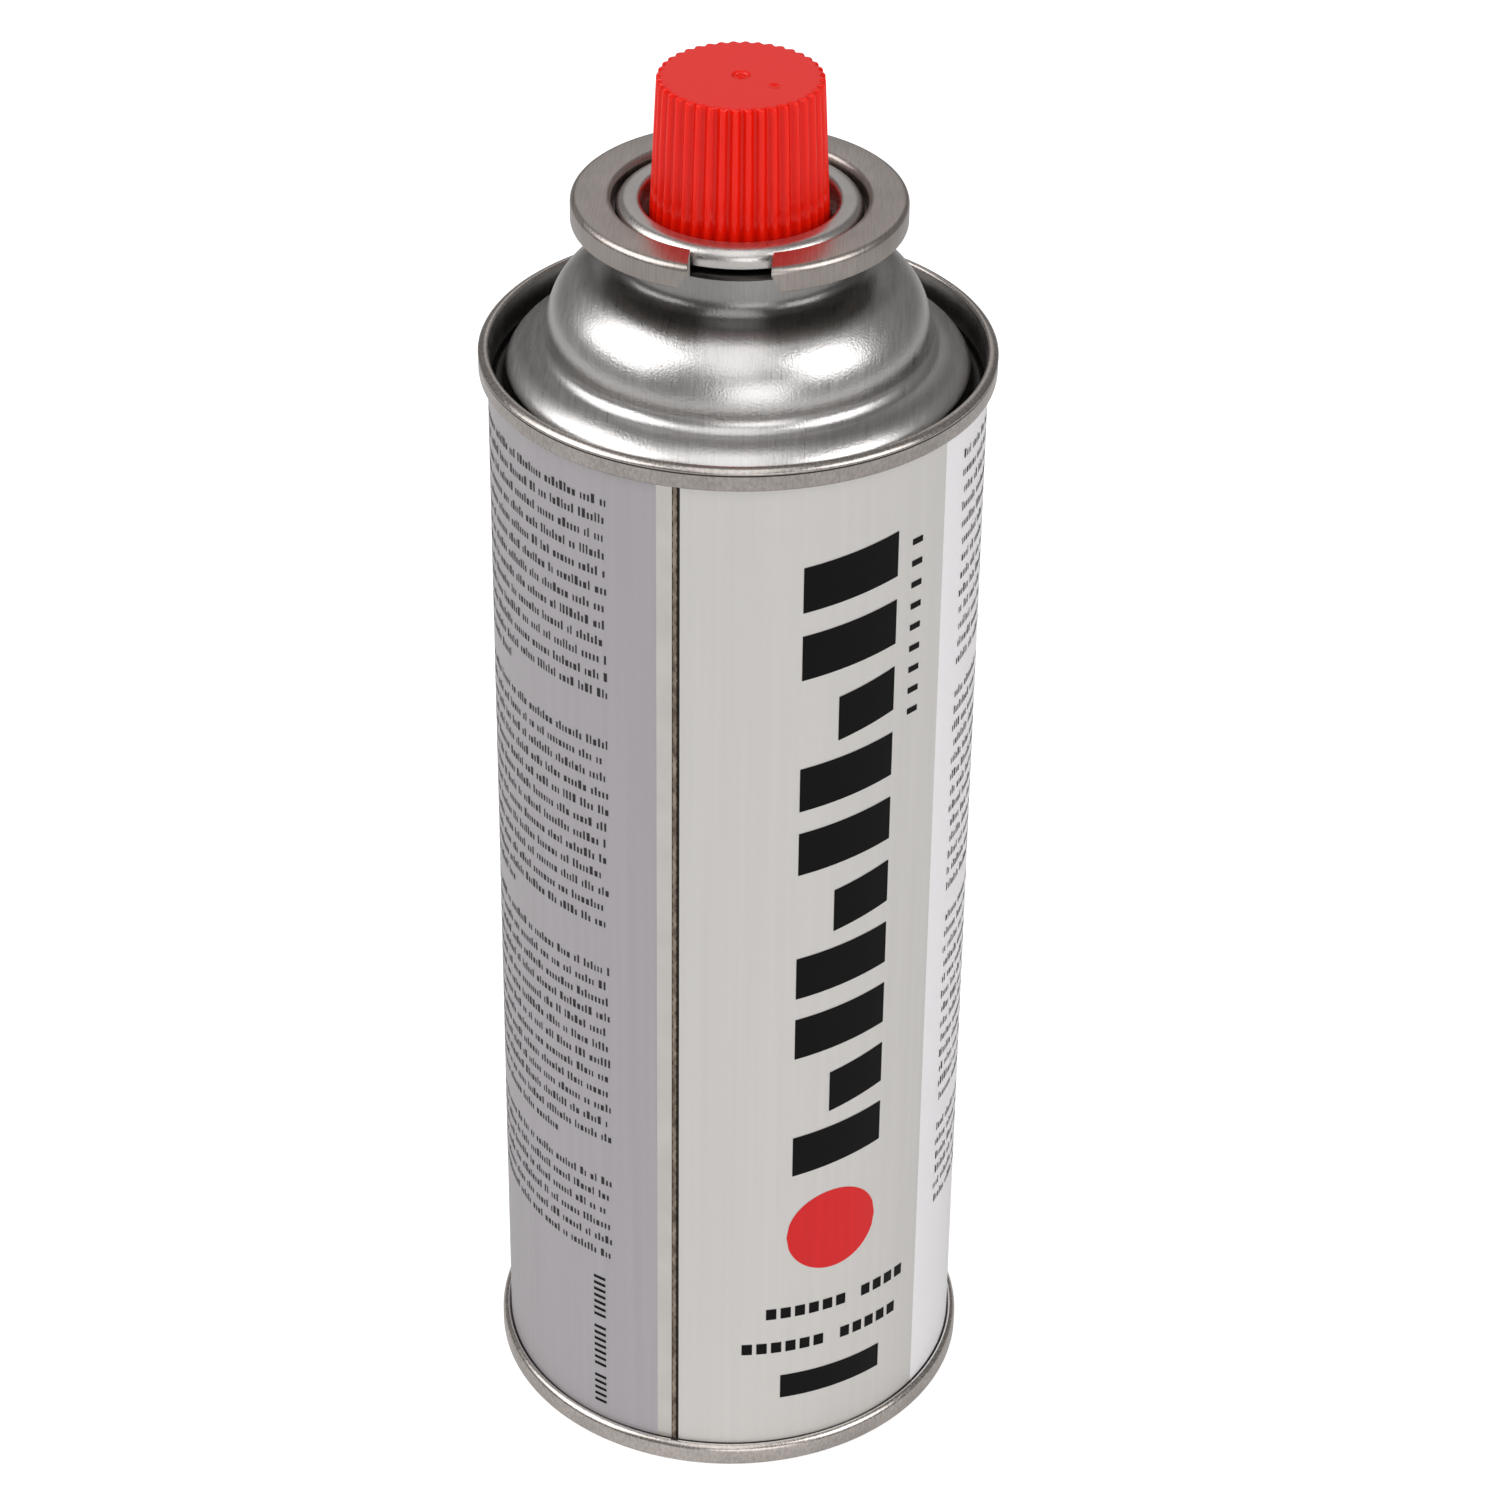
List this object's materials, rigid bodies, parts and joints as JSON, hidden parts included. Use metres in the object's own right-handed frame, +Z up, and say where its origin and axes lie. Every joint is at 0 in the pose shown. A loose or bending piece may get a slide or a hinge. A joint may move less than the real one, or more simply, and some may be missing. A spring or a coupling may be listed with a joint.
{
  "type": "fuel canister",
  "caption": "Sealed steel gas fuel canister with double seams, domed top, notched bayonet collar, press-down stem valve and red ribbed pull-off cap.",
  "frame": {"origin": "centre of the bottom rim, on the surface that the canister stands on", "axes": "+Z up along the canister's axis, -Y towards the collar's notch, +X to the right seen from the notch"},
  "size_m": [0.0676, 0.0676, 0.2016],
  "materials": {
    "tinplate": "satin tinplate, lithographed body",
    "plated_steel": "satin pressed steel",
    "seal_rubber": "matte",
    "acetal": "moulded, off-white",
    "spring_steel": "drawn wire",
    "cap_red": "glossy moulded"
  },
  "bodies": {
    "canister": {"can": "tinplate", "collar_ring": "plated_steel", "valve_cup": "plated_steel", "stem_gasket": "seal_rubber", "valve_housing": "acetal", "valve_spring": "spring_steel"},
    "stem": {"valve_stem": "acetal"},
    "cap": {"cap": "cap_red"}
  },
  "joints": [
    {"name": "stem_press", "type": "slide", "parent": "canister", "child": "stem", "axis": [0, 0, 1], "range_m": [-0.002, 0], "stiffness_N_per_m": 1500, "springref_m": 0.001, "deforming": ["valve_spring"]},
    {"name": "cap_lift", "type": "slide", "parent": "canister", "child": "cap", "axis": [0, 0, 1], "range_m": [0, 0.03]}
  ]
}
